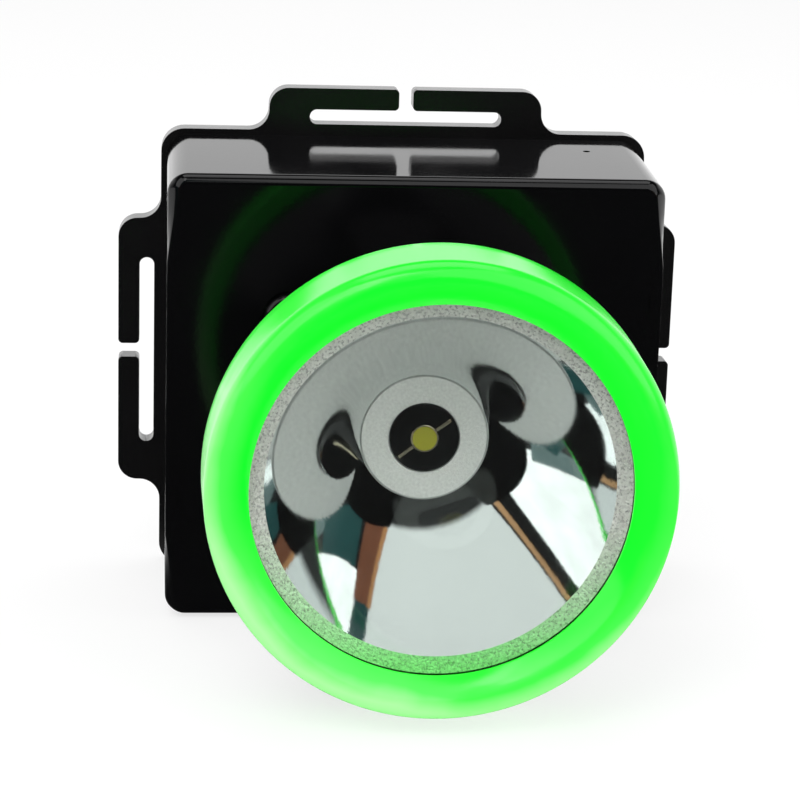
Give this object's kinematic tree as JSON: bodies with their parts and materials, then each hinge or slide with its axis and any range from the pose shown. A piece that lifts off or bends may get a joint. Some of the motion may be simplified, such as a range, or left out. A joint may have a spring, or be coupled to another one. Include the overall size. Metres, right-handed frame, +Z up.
{
  "type": "miner's cap lamp",
  "caption": "Battery cap lamp: a glossy black box with split strap lugs, a tilting lamp head, a silvered reflector and a green focusing ring.",
  "frame": {"origin": "centre of the rear pad's resting face, level with the middle of the back flange", "axes": "+X to the lamp's side that lies right in a front view, +Y back towards the forehead or cap, +Z up; the beam points along -Y"},
  "size_m": [0.0883, 0.0828, 0.0776],
  "materials": {
    "black_shell": "high gloss moulded ABS",
    "black_cover": "semi-gloss moulded ABS",
    "black_cup": "semi-gloss moulded ABS",
    "black_button": "glossy moulded ABS",
    "seal_rubber": "matt nitrile rubber",
    "pad_foam": "closed-cell EVA foam",
    "screw_steel": "zinc-plated steel",
    "battery_case": "moulded ABS case",
    "tab_brass": "stamped brass",
    "red_insulation": "PVC insulation",
    "black_insulation": "PVC insulation",
    "board_laminate": "solder mask on glass laminate",
    "component_black": "moulded epoxy",
    "indicator_red": "tinted epoxy",
    "socket_black": "moulded nylon",
    "pin_nickel": "nickel plate",
    "friction_fibre": "vulcanised fibre",
    "sink_aluminium": "turned aluminium",
    "led_board_metal": "white solder mask on aluminium",
    "led_black": "black epoxy",
    "phosphor_yellow": "phosphor in silicone",
    "contact_gilt": "plated copper",
    "washer_silver": "fine blasted silver",
    "mirror_coat": "vacuum-metallised plastic, pebbled rim",
    "lens_clear": "clear polycarbonate",
    "green_ring": "fluorescent green ABS"
  },
  "bodies": {
    "housing": {"front_shell": "black_shell", "back_cover": "black_cover", "cover_seal": "seal_rubber", "cover_screws": "screw_steel", "forehead_pad": "pad_foam", "battery": "battery_case", "battery_terminals": "tab_brass", "positive_lead": "red_insulation", "negative_lead": "black_insulation", "circuit_board": "board_laminate", "driver_parts": "component_black", "board_screws": "screw_steel", "switch_body": "component_black", "charge_indicator": "indicator_red", "charge_socket": "socket_black", "socket_pin": "pin_nickel", "socket_leads": "red_insulation", "yoke": "black_cover", "yoke_screws": "screw_steel", "pivot_pins": "screw_steel", "friction_washers": "friction_fibre", "lamp_lead": "black_insulation"},
    "button": {"button_cap": "black_button"},
    "head": {"lamp_cup": "black_cup", "cup_seal": "seal_rubber", "heat_sink": "sink_aluminium", "head_lead": "black_insulation", "led_board": "led_board_metal", "led_body": "led_black", "led_emitter": "phosphor_yellow", "led_contacts": "contact_gilt", "led_washer": "washer_silver"},
    "focus_unit": {"reflector": "mirror_coat", "lens": "lens_clear", "lens_seal": "seal_rubber"},
    "bezel_ring": {"bezel": "green_ring", "retaining_ring": "black_cup"}
  },
  "joints": [
    {"name": "head_tilt", "type": "hinge", "parent": "housing", "child": "head", "pos_m": [0, -0.0404, -0.0012], "axis": [1, 0, 0], "range_deg": [-20, 45]},
    {"name": "button_press", "type": "slide", "parent": "housing", "child": "button", "axis": [0, 1, 0], "range_m": [0, 0.0009], "stiffness_N_per_m": 500, "springref_m": -0.0005},
    {"name": "focus_travel", "type": "slide", "parent": "head", "child": "focus_unit", "axis": [0, -1, 0], "range_m": [0, 0.003]},
    {"name": "bezel_turn", "type": "hinge", "parent": "focus_unit", "child": "bezel_ring", "pos_m": [0, -0.0699, -0.0012], "axis": [0, -1, 0], "range_deg": [0, 270]}
  ],
  "couplings": [
    {"joint": "bezel_turn", "follows": "focus_travel", "rad_per_m": 1570.8}
  ]
}
